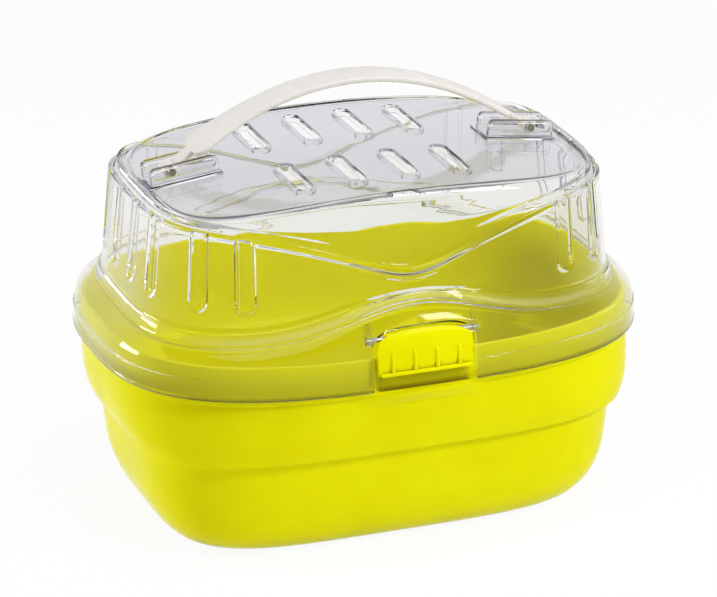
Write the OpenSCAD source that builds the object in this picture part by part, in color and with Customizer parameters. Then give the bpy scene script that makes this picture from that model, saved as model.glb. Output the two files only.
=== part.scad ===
// Small-animal carrier: a coloured tub with a clear hinged cover, a press latch at the front
// and a flexible carrying strap that slides in rails on the roof.
// Millimetres. Z points up and the carrier stands on z = 0. X runs along its length and the
// latch faces -Y. X = 0 and Y = 0 are the middle of the tub.

/* [Overall] */
// Length over the skirt of the cover
case_length = 300; // [280:1:340]
// Width over the skirt of the cover, without the hinge
case_width = 218.6; // [205:0.2:250]

/* [Tub] */
// Height of the tub's rim
tub_height = 117; // [112:0.5:124]
// Thickness of the tub's wall
tub_wall = 2.2; // [1.8:0.1:2.6]
// Thickness of the tub's floor
tub_floor = 2.8; // [2:0.1:4]
// How far the upper wall of the tub stands in from the skirt
tub_inset = 5.4; // [5:0.1:6.5]
// Height of the step that runs round the tub
step_height = 60; // [52:1:68]
// How far the wall draws in above the step
step_bulge = 7.8; // [5:0.1:10]
// Depth of the step itself
step_depth = 2.6; // [1.5:0.1:4]
// Draw-in of the lower wall for each millimetre of height
tub_draft = 0.12; // [0.05:0.01:0.16]
// Radius of the tub's bottom edge, sideways
bottom_round = 20; // [14:1:24]
// Height of the tub's bottom edge rounding
bottom_rise = 34; // [26:1:40]
// Thickness of the ledge that the cover's skirt sits over
ledge_thickness = 2; // [1.5:0.1:3]
// How far the bulged lip under the latch stands out of the tub's wall
lip_depth = 6.2; // [5:0.1:7]
// Length of the bulged lip under the latch
lip_length = 76; // [66:1:90]

/* [Cover] */
// Wall of the clear cover
cover_wall = 2; // [1.6:0.1:2.4]
// How far the skirt's lower edge hangs below the tub's rim
skirt_overlap = 17; // [15:0.5:21]
// Height of the skirt's flat band
skirt_band = 11; // [9:0.5:13]
// Rise from the skirt's lower edge to the foot of the cabin wall at the corners
shoulder_rise = 25.5; // [22:0.5:30]
// How much higher the shoulder runs above the latch
foot_rise = 17.5; // [12:0.5:20]
// Half the length of the shoulder's rise above the latch
foot_spread = 52; // [40:1:60]
// How far the cabin wall stands in from the skirt at its foot
foot_inset = 15.6; // [14.6:0.1:18]
// Rise from the skirt's lower edge to the wave ledge in the middle of the long sides
wave_low_rise = 55.2; // [53:0.2:60]
// Rise from the skirt's lower edge to the wave ledge at the ends
wave_high_rise = 85.4; // [80:0.2:86]
// Rounding radius of the wave's lowest point
wave_round = 12; // [8:1:24]
// How far the cabin wall stands in from the skirt below the ledge
ledge_inset = 22.4; // [21:0.1:25]
// Width of the wave ledge
ledge_width = 4.4; // [3.5:0.1:5.5]
// Rise from the skirt's lower edge to the roof's edge at the ends
roof_rise = 88.2; // [86:0.2:92]
// How much higher the middle of the roof is than its ends
roof_crown = 8.7; // [5:0.1:12]
// How far the roof's edge stands in from the skirt
roof_inset = 34.8; // [33.5:0.1:37]

/* [Vents and flutes] */
// Vents in each row of the roof
vent_columns = 4; // [2:1:5]
// Spacing of the vents along the length
vent_pitch = 29.4; // [22:0.2:32]
// Distance between the two rows of vents
vent_row_gap = 70; // [64:1:74]
// Length of a vent
vent_length = 42; // [30:1:44]
// Width of a vent
vent_width = 8; // [5:0.5:10]
// Wall of the collar round a vent
vent_collar = 1.6; // [1.2:0.1:2.4]
// Depth of the collar below the roof's inner face
vent_depth = 3; // [1.5:0.5:5]
// Width of a flute in the cabin wall
flute_width = 7; // [5:0.5:8]
// Depth of a flute
flute_depth = 2.2; // [1.5:0.1:2.6]
// Wall behind a flute
flute_wall = 1.6; // [1.2:0.1:2]
// Rise from the skirt's lower edge to the flutes' rounded lower ends
flute_rise = 44; // [40:0.5:50]

/* [Latch] */
// Width of the latch tab
latch_width = 54; // [50:1:58]
// Rise from the skirt's lower edge to the tab's lower edge
latch_rise = 8.6; // [7:0.2:9.6]
// Height of the tab, up to its arched top
latch_height = 22; // [21:0.2:22.8]
// Thickness of the tab
latch_thickness = 2.4; // [1.8:0.1:3]
// Gap round the latch in its cut-out
latch_gap = 2; // [1.8:0.1:2.4]
// Diameter of the latch pin
latch_pin_d = 2.6; // [2:0.1:3]
// Finger ribs on the tab
latch_ribs = 4; // [2:1:4]
// Spacing of the finger ribs
rib_pitch = 12.4; // [8:0.2:14]

/* [Handle] */
// Width of the strap
strap_width = 20; // [16:0.5:24]
// Thickness of the strap
strap_thickness = 3; // [2:0.1:4]
// Rise of the strap's highest point above the middle of the roof
handle_rise = 39.1; // [33:0.1:43]
// Width of the strap's neck between the rails
neck_width = 9; // [7:0.5:10]
// Distance of the cross pins from the middle, along the length
pin_reach = 102; // [100:0.5:104]
// Diameter of the cross pins
cross_pin_d = 4; // [3:0.1:4.4]
// Length of a rail
rail_length = 38; // [36:1:40]
// Distance of a rail's inner end from the middle
rail_start = 76.5; // [76:0.5:78]
// Thickness of a rail
rail_thickness = 3; // [2.6:0.1:3.6]
// Height of a rail above the roof
rail_height = 9.4; // [9:0.1:11]
// Clear gap between the two rails of a pair
rail_gap = 12; // [11:0.5:14]
// Offset of the handle and the vents behind the middle
handle_offset = 6; // [0:0.5:8]

/* [Hinge] */
// Distance of each hinge from the middle
hinge_spacing = 50; // [40:1:60]
// Diameter of the hinge pins
hinge_pin_d = 3.2; // [2.6:0.1:3.6]
// Outer diameter of the knuckles
knuckle_d = 7.4; // [7:0.1:8]
// Length of each of the tub's two knuckles
knuckle_length = 6; // [5:0.5:8]
// Length of the cover's knuckle between them
middle_knuckle = 12; // [8:0.5:16]
// Gap between neighbouring knuckles
knuckle_gap = 0.4; // [0.3:0.1:0.8]

/* [Fits] */
// Running clearance of a pin in its bore, on the radius
pin_clearance = 0.08; // [0.05:0.01:0.1]
// Clearance of the cross pins in the rails' grooves
groove_clearance = 0.3; // [0.2:0.05:0.5]
// Gap between the skirt and the ledge under it
seat_gap = 0.6; // [0.4:0.1:1]

/* [Hidden] */

tub_segments = 56;
cover_segments = 64;
small_round = 12;
roof_shares = [0.66, 0.33];

// The plan is a superellipse. Its exponent grows from the skirt to the roof, level by level:
// 0 skirt edge, 1 top of the band, 2 foot of the cabin, 3 wave ledge, 4 roof edge.
level_exponents = [2.9, 2.9, 3.3, 3.6, 4.2];
tub_exponents = [4.1, 3.7, 2.9];

// Heights above the ground. The cover and what it carries go up and down with the tub's rim.
skirt_bottom = tub_height - skirt_overlap;
band_top = skirt_bottom + skirt_band;
ledge_top = skirt_bottom - seat_gap;
foot_height = skirt_bottom + shoulder_rise;
wave_low = skirt_bottom + wave_low_rise;
wave_high = skirt_bottom + wave_high_rise;
roof_edge = skirt_bottom + roof_rise;
flute_bottom = skirt_bottom + flute_rise;
latch_bottom = skirt_bottom + latch_rise;
latch_top = latch_bottom + latch_height;
strap_apex = roof_edge + roof_crown + handle_rise;
roof_half = case_length / 2 - roof_inset;

// Radius of a superellipse with half sizes a and b in the direction t
function plan_radius(t, a, b, n) =
    1 / pow(pow(abs(cos(t)) / a, n) + pow(abs(sin(t)) / b, n), 1 / n);

// One point of the plan outline, drawn in by inset and shrunk by share
function plan_point(t, inset, n, share = 1) =
    let(r = share * plan_radius(t, case_length / 2 - inset, case_width / 2 - inset, n))
    [r * cos(t), r * sin(t)];

function mix(a, b, share) = a + (b - a) * share;

// Height of the shoulder's inner end, of the wave ledge and of the roof above a point at x
function foot_z(x) = foot_height + foot_rise * exp(-pow(x / foot_spread, 2));
function wave_run(x) = sqrt(x * x + wave_round * wave_round) - wave_round;
wave_span = wave_run(case_length / 2 - ledge_inset);
function wave_z(x) = mix(wave_low, wave_high, sin(90 * min(1, wave_run(x) / wave_span)));
function roof_z(x) = roof_edge + roof_crown * max(0, 1 - pow(x / roof_half, 2));

// Height of a level, which may lie between two of the datum lines
function datum_z(i, x) =
    i == 0 ? skirt_bottom : i == 1 ? band_top : i == 2 ? foot_z(x) : i == 3 ? wave_z(x) : roof_z(x);
function level_z(level, x) =
    let(i = min(3, floor(level))) mix(datum_z(i, x), datum_z(i + 1, x), level - i);
function level_n(level) =
    let(i = min(3, floor(level))) mix(level_exponents[i], level_exponents[i + 1], level - i);

// A ring of the cover: [inset, level, height above the level, share of the plan]
function cover_ring(r) = [
    for (i = [0:cover_segments - 1])
    let(p = plan_point(360 * i / cover_segments, r[0], level_n(r[1]), len(r) > 3 ? r[3] : 1))
    [p[0], p[1], level_z(r[1], p[0]) + r[2]]
];

// A ring of the tub: [inset, height]
function tub_n(z) =
    z < step_height ? mix(tub_exponents[0], tub_exponents[1], z / step_height)
    : mix(tub_exponents[1], tub_exponents[2], min(1, (z - step_height) / (skirt_bottom - step_height)));
function tub_ring(r) = [
    for (i = [0:tub_segments - 1])
    let(p = plan_point(360 * i / tub_segments, r[0], tub_n(r[1])))
    [p[0], p[1], r[1]]
];

function centroid(ring) =
    let(total = [for (p = ring) 1] * ring) total / len(ring);

// Skin through a row of rings, with a fan at each end
module loft(rings) {
    n = len(rings[0]);
    points = concat([for (ring = rings) each ring],
                    [centroid(rings[0]), centroid(rings[len(rings) - 1])]);
    first = len(rings) * n;
    last = (len(rings) - 1) * n;
    sides = [
        for (k = [0:len(rings) - 2], i = [0:n - 1], half = [0, 1])
        let(a = k * n + i, b = k * n + (i + 1) % n, c = a + n, d = b + n)
        half == 0 ? [a, d, b] : [a, c, d]
    ];
    start = [for (i = [0:n - 1]) [first, i, (i + 1) % n]];
    end = [for (i = [0:n - 1]) [first + 1, last + (i + 1) % n, last + i]];
    polyhedron(points = points, faces = concat(start, sides, end));
}

// A moulding kept as one skin
module moulding() {
    resize([0, 0, 0]) children();
}

module at_both_hinges() {
    for (side = [-1, 1]) translate([side * hinge_spacing, 0, 0]) children();
}

// Tub

wall_steps = 5;
lower_inset = tub_inset + step_bulge + step_depth;
tub_front = -case_width / 2 + tub_inset;

// The lower wall leans by the draft and ends in an elliptic round at the bottom
function lower_wall(offset, base) = [
    for (i = [0:wall_steps])
    let(a = 90 * i / wall_steps, z = base + (bottom_rise - base) * (1 - cos(a)))
    [lower_inset + tub_draft * (step_height - z) + bottom_round * (1 - sin(a)) + offset, z]
];
// The upper wall bulges out from the step to the ledge
bulge_rise = ledge_top - ledge_thickness - step_height - 3;
function upper_wall(offset, base) = [
    for (i = [0:wall_steps])
    let(a = 90 * i / wall_steps)
    [tub_inset + step_bulge * (1 - sin(a)) + offset, base + bulge_rise * (1 - cos(a))]
];
ledge_edge = 2.2;
ledge_root = 1;
rim_chamfer = 0.6;
tub_outside = concat(
    lower_wall(0, 0),
    [[lower_inset, step_height - ledge_root]],
    upper_wall(0, step_height),
    [[tub_inset, ledge_top - ledge_thickness - ledge_root],
     [ledge_edge, ledge_top - ledge_thickness],
     [ledge_edge, ledge_top],
     [tub_inset, ledge_top],
     [tub_inset, tub_height - rim_chamfer],
     [tub_inset + rim_chamfer, tub_height]]);
tub_inside = concat(
    lower_wall(tub_wall, tub_floor),
    [[lower_inset + tub_wall, step_height - 2 * ledge_root]],
    upper_wall(tub_wall, step_height),
    [[tub_inset + tub_wall, tub_height - rim_chamfer],
     [tub_inset + tub_wall - rim_chamfer, tub_height]]);

module tub_shell() {
    inside = [for (i = [len(tub_inside) - 1:-1:0]) tub_ring(tub_inside[i])];
    loft(concat([for (r = tub_outside) tub_ring(r)], inside));
}

// Plan of the bulged lip: a shallow arc in front of the wall
lip_root = 0.6;
module lip_plan(depth) {
    half = lip_length / 2;
    radius = (half * half + depth * depth) / (2 * depth);
    wall_y = tub_front + lip_root;
    intersection() {
        translate([0, wall_y - depth + radius]) circle(r = radius, $fn = 180);
        translate([-half, wall_y - depth - 1]) square([lip_length, depth + 2]);
    }
}

lip_drop = 11;
lip_edge = 1.6;
module latch_lip() {
    hull() {
        translate([0, 0, ledge_top - lip_edge]) linear_extrude(lip_edge) lip_plan(lip_depth);
        translate([0, 0, ledge_top - lip_drop]) linear_extrude(lip_edge / 4) lip_plan(lip_root + 0.2);
    }
}

// Bar on the tub's rim that the latch hooks under
catch_reach = 1.5;
catch_margin = 6;
catch_height = 1.8;
catch_gap = 0.5;
nib_height = 1.7;
catch_bottom = latch_bottom + nib_height + catch_gap;
module catch_bar() {
    translate([-latch_width / 2 + catch_margin, tub_front - catch_reach, catch_bottom])
        cube([latch_width - 2 * catch_margin, catch_reach + tub_wall / 2, catch_height]);
}

// Hinge. Its axis lies behind the skirt and below its lower edge.
hinge_y = case_width / 2 + knuckle_d / 2;
hinge_z = skirt_bottom - knuckle_d / 2;
hinge_width = middle_knuckle + 2 * (knuckle_length + knuckle_gap);

// Where the tub's wall stands behind a point at x
function tub_back(x) =
    let(n = tub_exponents[2], half = case_length / 2 - tub_inset)
    (case_width / 2 - tub_inset) * pow(1 - pow(x / half, n), 1 / n);

module knuckle(length) {
    rotate([0, 90, 0]) cylinder(d = knuckle_d, h = length, center = true, $fn = 48);
}

module knuckle_bore(length, clearance) {
    rotate([0, 90, 0])
        cylinder(r = hinge_pin_d / 2 + clearance, h = length, center = true, $fn = 48);
}

// Side view of the arm that joins a knuckle to the tub. Its root is sunk a third into the wall.
module tub_arm_plan(outer_x) {
    reach = hinge_y - tub_back(outer_x) + tub_wall / 3;
    top = ledge_top - hinge_z - 0.6;
    drop = 1.9 * knuckle_d;
    polygon([[0, knuckle_d / 2], [0, -knuckle_d / 2], [-reach, -drop], [-reach, top], [-3, top]]);
}

module tub_knuckles() {
    offset_x = (middle_knuckle + knuckle_length) / 2 + knuckle_gap;
    for (hinge = [-1, 1], side = [-1, 1])
        translate([hinge * (hinge_spacing + side * offset_x), hinge_y, hinge_z])
            difference() {
                union() {
                    knuckle(knuckle_length);
                    rotate([90, 0, 90])
                        translate([0, 0, -knuckle_length / 2])
                            linear_extrude(knuckle_length)
                                tub_arm_plan(hinge_spacing + side * offset_x + knuckle_length / 2);
                }
                knuckle_bore(knuckle_length + 2, 0);
            }
}

module base_tub() {
    color([0.88, 0.87, 0.05]) {
        moulding() {
            tub_shell();
            latch_lip();
            catch_bar();
        }
        tub_knuckles();
    }
}

// Cover

skirt_step = 0.8;
w = cover_wall;
shoulder = foot_inset - 1.6;
crown_inset = ledge_inset + ledge_width;
cover_outside = [
    [0, 0, 0],
    [0.2, 1, 0],
    [0.2 + skirt_step, 1, 0.5],
    [shoulder * 0.14, 1.3, 0],
    [shoulder * 0.3, 1.62, 0],
    [shoulder * 0.54, 1.82, 0],
    [shoulder * 0.8, 1.94, 0],
    [shoulder, 2, 0],
    [foot_inset, 2, 1.4],
    [foot_inset + 0.4, 2, 4],
    [ledge_inset, 3, -1.4],
    [ledge_inset + 0.6, 3, -0.2],
    [ledge_inset + 1.6, 3, 0.3],
    [crown_inset - 0.6, 3, 0.4],
    [crown_inset + 0.2, 3, 1.6],
    [mix(crown_inset, roof_inset, 0.18), 3.4, 0],
    [mix(crown_inset, roof_inset, 0.32), 3.7, 0],
    [mix(crown_inset, roof_inset, 0.52), 3.88, 0],
    [mix(crown_inset, roof_inset, 0.76), 3.97, 0],
    [roof_inset, 4, 0],
    for (share = roof_shares) [roof_inset, 4, 0, share]
];
cover_inside = [
    [w, 0, 0],
    [w + 0.1, 1, -0.5],
    [shoulder * 0.14 + w * 0.9, 1.3, -w * 0.35],
    [shoulder * 0.3 + w * 0.85, 1.62, -w * 0.65],
    [shoulder * 0.58 + w * 0.5, 1.83, -w * 0.9],
    [shoulder + w, 2, -w],
    [foot_inset + w, 2, 1],
    [ledge_inset + w, 3, -w - 0.8],
    [ledge_inset + w + 0.9, 3, -w + 0.1],
    [crown_inset + w * 0.7, 3, -w + 0.2],
    [crown_inset + w + 0.2, 3, -0.4],
    [mix(crown_inset, roof_inset, 0.25) + w, 3.55, -w * 0.5],
    [mix(crown_inset, roof_inset, 0.6) + w, 3.9, -w * 0.9],
    [roof_inset + w * 0.6, 4, -w],
    for (share = roof_shares) [roof_inset, 4, -w, share]
];

module cover_shell() {
    inside = [for (i = [len(cover_inside) - 1:-1:0]) cover_ring(cover_inside[i])];
    loft(concat(inside, [for (r = cover_outside) cover_ring(r)]));
}

// Flutes stand across the corners and the ends of the cabin wall
flute_angles = [42.4, 31.6, 16.6, 5.6];
flute_inset = (foot_inset + ledge_inset) / 2;
flute_exponent = (level_n(2) + level_n(3)) / 2;
flute_middle = (foot_height + wave_high) / 2;
flute_lean = atan2(ledge_inset - foot_inset, wave_high - foot_height);

module at_flutes() {
    for (end = [0, 180], side = [-1, 1], angle = flute_angles) {
        t = end + side * angle;
        p = plan_point(t, flute_inset, flute_exponent);
        q = plan_point(t + 1, flute_inset, flute_exponent);
        translate([p[0], p[1], flute_middle])
            rotate([0, 0, atan2(q[1] - p[1], q[0] - p[0]) - 90])
                rotate([0, -flute_lean, 0]) translate([0, 0, -flute_middle]) children();
    }
}

// Upright slot with a round lower end, sunk in the wall by depth
module flute_form(width, depth, reach, bottom) {
    round_z = bottom + width / 2;
    translate([-depth, -width / 2, round_z]) cube([depth + reach, width, wave_high + 12 - round_z]);
    translate([-depth, 0, round_z]) rotate([0, 90, 0]) cylinder(d = width, h = depth + reach, $fn = small_round);
}

module flute_pods() {
    at_flutes()
        flute_form(flute_width + 2 * flute_wall, flute_depth + flute_wall, -0.3, flute_bottom - flute_wall);
}

vent_half = vent_row_gap / 2;
module at_vents() {
    for (column = [0:vent_columns - 1], row = [-1, 1])
        translate([(column - (vent_columns - 1) / 2) * vent_pitch, handle_offset + row * vent_half, 0])
            children();
}

module vent_form(grow) {
    run = (vent_length - vent_width) / 2;
    translate([0, 0, roof_edge - 12]) linear_extrude(roof_crown + 20) {
        for (end = [-1, 1]) translate([0, end * run]) circle(d = vent_width + 2 * grow, $fn = small_round);
        square([vent_width + 2 * grow, 2 * run], center = true);
    }
}

// Arched slab between two depths below the roof
module roof_slab(top, bottom) {
    shares = concat([1], roof_shares);
    upper = [for (share = shares) cover_ring([roof_inset, 4, -top, share])];
    lower = [for (i = [len(shares) - 1:-1:0]) cover_ring([roof_inset, 4, -bottom, shares[i]])];
    loft(concat(lower, upper));
}

// What the cover would be as a solid block
module cover_block() {
    loft([for (r = cover_outside) cover_ring(r)]);
}

// Rails follow the slope of the roof
rail_middle = rail_start + rail_length / 2;
rail_slope = atan2(roof_z(rail_start) - roof_z(rail_start + rail_length), rail_length);
rail_z = roof_z(rail_middle);
rail_round = 3;
rail_sink = 2;

module rail_profile() {
    half = rail_length / 2;
    corner_x = half - rail_round;
    polygon(concat(
        [[-half, -rail_sink], [half, -rail_sink]],
        [for (a = [0:18:90]) [corner_x + rail_round * cos(a), rail_height + rail_round * (sin(a) - 1)]],
        [for (a = [90:18:180]) [-corner_x + rail_round * cos(a), rail_height + rail_round * (sin(a) - 1)]]));
}

groove_height = cross_pin_d + 2 * groove_clearance;
groove_z = rail_height / 2 + 0.3;
groove_depth = rail_thickness - 1;

module groove_profile() {
    run = rail_length / 2 - 1.4 - groove_height / 2;
    translate([-run, groove_z - groove_height / 2]) square([2 * run, groove_height]);
    for (end = [-1, 1]) translate([end * run, groove_z]) circle(d = groove_height, $fn = 16);
}

module on_rails(side) {
    translate([side * rail_middle, handle_offset, rail_z]) rotate([0, side * rail_slope, 0]) children();
}

module rail(y_side) {
    inner = rail_gap / 2;
    rotate([90, 0, 0]) {
        difference() {
            translate([0, 0, y_side > 0 ? -inner - rail_thickness : inner])
                linear_extrude(rail_thickness) rail_profile();
            translate([0, 0, y_side > 0 ? -inner - groove_depth : inner - 1])
                linear_extrude(groove_depth + 1) groove_profile();
        }
    }
}

plinth_height = 1.2;
module rails(side) {
    on_rails(side) {
        rail(1);
        rail(-1);
        translate([-rail_length / 2 - 2, -rail_gap / 2 - rail_thickness - 3, -1.5])
            cube([rail_length + 3, rail_gap + 2 * rail_thickness + 6, 1.5 + plinth_height * 0.3]);
    }
}

// Front view of the latch tab, and of its cut-out when grown by the gap
latch_side_height = 12;
function arch_point(a, half, side_z, rise) =
    [half * sign(cos(a)) * pow(abs(cos(a)), 0.7), side_z + rise * pow(sin(a), 0.7)];
module latch_outline(grow, bottom) {
    half = latch_width / 2 + grow;
    side_z = latch_bottom + latch_side_height;
    polygon(concat([[-half, bottom], [half, bottom]],
        [for (a = [0:10:180]) arch_point(a, half, side_z, latch_top + grow - side_z)]));
}

module latch_cutout() {
    translate([0, -case_width / 2 + shoulder, 0]) rotate([90, 0, 0]) linear_extrude(2 * shoulder)
        latch_outline(latch_gap, skirt_bottom - 2);
}

// Latch pin, and the lugs inside the cover that carry it
latch_y = -case_width / 2 + 9;
latch_z = latch_top - 4.6;
lug_thickness = 3;
lug_d = 5.6;
lug_front_rise = 4;
lug_back_rise = 9.5;
lug_x = latch_width / 2 + 1;
pin_half = lug_x + lug_thickness;

// Side view of a lug above its bore: its top follows the slope of the shoulder
module lug_plan() {
    circle(d = lug_d, $fn = 36);
    polygon([[-lug_d / 2, 0], [-lug_d / 2, lug_front_rise], [lug_d / 2, lug_back_rise], [lug_d / 2, 0]]);
}

module latch_lugs() {
    for (side = [-1, 1])
        translate([side * (lug_x + lug_thickness / 2), latch_y, latch_z]) rotate([90, 0, 90])
            difference() {
                translate([0, 0, -lug_thickness / 2]) linear_extrude(lug_thickness) lug_plan();
                cylinder(d = latch_pin_d, h = lug_thickness + 2, center = true, $fn = 36);
            }
}

// Side view of the arm that joins the cover's knuckle to the skirt
module cover_arm_plan() {
    seat = case_width / 2 - cover_wall / 2 - hinge_y;
    polygon([[0, -knuckle_d / 2 + 0.3], [knuckle_d / 2 - 0.1, 0], [knuckle_d / 2 - 0.1, 1.2],
             [seat + 1.6, skirt_band + 1], [seat - 1.4, skirt_band + 1], [seat - 1.4, knuckle_d / 2 + 0.2],
             [-knuckle_d / 2, 1]]);
}

module cover_knuckle() {
    translate([0, hinge_y, hinge_z])
        difference() {
            union() {
                knuckle(middle_knuckle);
                rotate([90, 0, 90])
                    translate([0, 0, -middle_knuckle / 2])
                        linear_extrude(middle_knuckle) cover_arm_plan();
            }
            knuckle_bore(middle_knuckle + 2, pin_clearance);
        }
}

module clear_cover() {
    color([0.82, 0.83, 0.88, 0.45]) {
        moulding() {
            difference() {
                union() {
                    cover_shell();
                    intersection() {
                        roof_slab(cover_wall / 2, cover_wall + vent_depth);
                        at_vents() vent_form(vent_collar);
                    }
                    intersection() {
                        cover_block();
                        flute_pods();
                    }
                }
                at_vents() vent_form(0);
                at_flutes() flute_form(flute_width, flute_depth, 4, flute_bottom);
                latch_cutout();
            }
            for (side = [-1, 1]) rails(side);
        }
        latch_lugs();
        at_both_hinges() cover_knuckle();
    }
}

// Latch. The tab's outer face follows the shoulder of the cover.
tab_face = [[-0.4, latch_bottom], [0.2, latch_bottom + 5], [1.8, latch_bottom + 12],
            [3.2, latch_top - 4], [4.4, latch_top - 1.2], [5.4, latch_top]];
shelf_reach = 1.8;
shelf_height = 1.6;
nib_gap = 0.3;
barrel_d = 5;
barrel_length = latch_width - 14.8;

module tab_profile() {
    front = -case_width / 2;
    polygon(concat(
        [for (p = tab_face) [front + p[0], p[1]]],
        [for (i = [len(tab_face) - 1:-1:0])
            [front + tab_face[i][0] + latch_thickness, tab_face[i][1]]]));
}

module across(width, x = 0) {
    translate([x - width / 2, 0, 0]) rotate([90, 0, 90]) linear_extrude(width) children();
}

module finger_rib() {
    rise = tab_face[2][1] - tab_face[1][1];
    lean = atan2(tab_face[2][0] - tab_face[1][0], rise);
    translate([0, -case_width / 2 + tab_face[1][0] + 0.3, tab_face[1][1] - 2]) rotate([-lean, 0, 0]) {
        cylinder(d = 2.6, h = rise + 1, $fn = 24);
        translate([0, 0, rise + 1]) sphere(d = 2.6, $fn = 24);
    }
}

module front_latch() {
    front = -case_width / 2;
    color([0.9, 0.89, 0.1]) difference() {
        union() {
            intersection() {
                across(latch_width) tab_profile();
                rotate([90, 0, 0]) linear_extrude(case_width) latch_outline(0, latch_bottom - 1);
            }
            // Shelf that the fingertips pull
            translate([-latch_width / 2 + 1.5, front - shelf_reach, latch_bottom])
                cube([latch_width - 3, shelf_reach + 1, shelf_height]);
            // Nib that hooks under the catch bar
            translate([-latch_width / 2 + 7, front + 1, latch_bottom])
                cube([latch_width - 14, tub_front - catch_reach - nib_gap - front - 1, nib_height]);
            for (i = [0:latch_ribs - 1])
                translate([(i - (latch_ribs - 1) / 2) * rib_pitch, 0, 0]) finger_rib();
            translate([0, latch_y, latch_z]) rotate([0, 90, 0])
                cylinder(d = barrel_d, h = barrel_length, center = true, $fn = 36);
            across(barrel_length) polygon([
                [latch_y, latch_z - barrel_d / 2], [latch_y, latch_z + barrel_d / 2 - 0.6],
                [front + 4.8, latch_z + barrel_d / 2 - 0.6], [front + 3.6, latch_z - barrel_d / 2]]);
        }
        translate([0, latch_y, latch_z]) rotate([0, 90, 0])
            cylinder(r = latch_pin_d / 2 + pin_clearance, h = barrel_length + 2, center = true, $fn = 36);
    }
}

module latch_pin() {
    color("silver") translate([0, latch_y, latch_z]) rotate([0, 90, 0])
        cylinder(d = latch_pin_d, h = 2 * pin_half, center = true, $fn = 36);
}

// Handle. The strap is a parabola that runs on straight, as a narrower neck, to each cross pin.
neck_run = 14;
wide_reach = pin_reach - neck_run;
pin_along = pin_reach - rail_middle;
pin_x = rail_middle + pin_along * cos(rail_slope) + groove_z * sin(rail_slope);
pin_z = rail_z + groove_z * cos(rail_slope) - pin_along * sin(rail_slope);
strap_middle = strap_apex - strap_thickness / 2;
strap_bend = (strap_middle - pin_z) / (wide_reach * wide_reach + 2 * wide_reach * (pin_x - wide_reach));
neck_slope = 2 * strap_bend * wide_reach;
neck_angle = atan(neck_slope);
eye_d = cross_pin_d + 3.6;
tongue_length = 7.5;
tongue_gap = 0.3;
strap_steps = 32;

function strap_z(x) =
    abs(x) < wide_reach ? strap_middle - strap_bend * x * x
    : strap_middle - strap_bend * wide_reach * wide_reach - neck_slope * (abs(x) - wide_reach);
function strap_angle(x) = -sign(x) * atan(min(neck_slope, 2 * strap_bend * abs(x)));
function strap_side(x, offset) =
    [x - offset * sin(strap_angle(x)), strap_z(x) + offset * cos(strap_angle(x))];
strap_end = pin_x - (tongue_length + tongue_gap) * cos(neck_angle);
strap_stations = [for (i = [0:strap_steps]) strap_end * (2 * i / strap_steps - 1)];

module strap_plan() {
    corner = 5;
    hull() for (x = [-1, 1], y = [-1, 1])
        translate([x * (wide_reach - corner), y * (strap_width / 2 - corner)]) circle(r = corner, $fn = 32);
    square([2 * strap_end + 8, neck_width], center = true);
}

module handle_strap() {
    half = strap_thickness / 2;
    last = len(strap_stations) - 1;
    color([0.93, 0.92, 0.9]) intersection() {
        translate([0, handle_offset + strap_width, 0]) rotate([90, 0, 0]) linear_extrude(2 * strap_width)
            polygon(concat(
                [for (x = strap_stations) strap_side(x, half)],
                [for (i = [last:-1:0]) strap_side(strap_stations[i], -half)]));
        translate([0, handle_offset, roof_edge - 5]) linear_extrude(strap_apex) strap_plan();
    }
}

module at_pin(side) {
    translate([side * pin_x, handle_offset, pin_z]) children();
}

module handle_end(side) {
    color([0.93, 0.92, 0.9]) at_pin(side) difference() {
        union() {
            rotate([90, 0, 0]) cylinder(d = eye_d, h = neck_width, center = true, $fn = 40);
            rotate([0, side * (neck_angle - 90) , 0])
                translate([-strap_thickness / 2, -neck_width / 2, 0])
                    cube([strap_thickness, neck_width, tongue_length]);
        }
        rotate([90, 0, 0])
            cylinder(r = cross_pin_d / 2 + pin_clearance, h = neck_width + 2, center = true, $fn = 40);
    }
}

pin_end_gap = 0.4;
cross_pin_length = rail_gap + 2 * (groove_depth - pin_end_gap);
module cross_pin(side) {
    color("gray") at_pin(side) rotate([90, 0, 0])
        cylinder(d = cross_pin_d, h = cross_pin_length, center = true, $fn = 40);
}

module hinge_pin(side) {
    color("silver") translate([side * hinge_spacing, hinge_y, hinge_z]) rotate([0, 90, 0])
        cylinder(d = hinge_pin_d, h = hinge_width, center = true, $fn = 48);
}

module handle_end_left() { handle_end(-1); }
module handle_end_right() { handle_end(1); }
module cross_pin_left() { cross_pin(-1); }
module cross_pin_right() { cross_pin(1); }
module hinge_pin_left() { hinge_pin(-1); }
module hinge_pin_right() { hinge_pin(1); }

base_tub();
clear_cover();
front_latch();
latch_pin();
handle_strap();
handle_end_left();
handle_end_right();
cross_pin_left();
cross_pin_right();
hinge_pin_left();
hinge_pin_right();
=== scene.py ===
# Looks for a small-animal carrier: a yellow tub, a clear hinged cover, a front latch and a carrying strap.
# Sizes are in millimetres in the CAD frame, and each mesh is written in metres.
import bisect
import math

import bmesh
import bpy
from mathutils import Matrix, Vector


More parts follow.
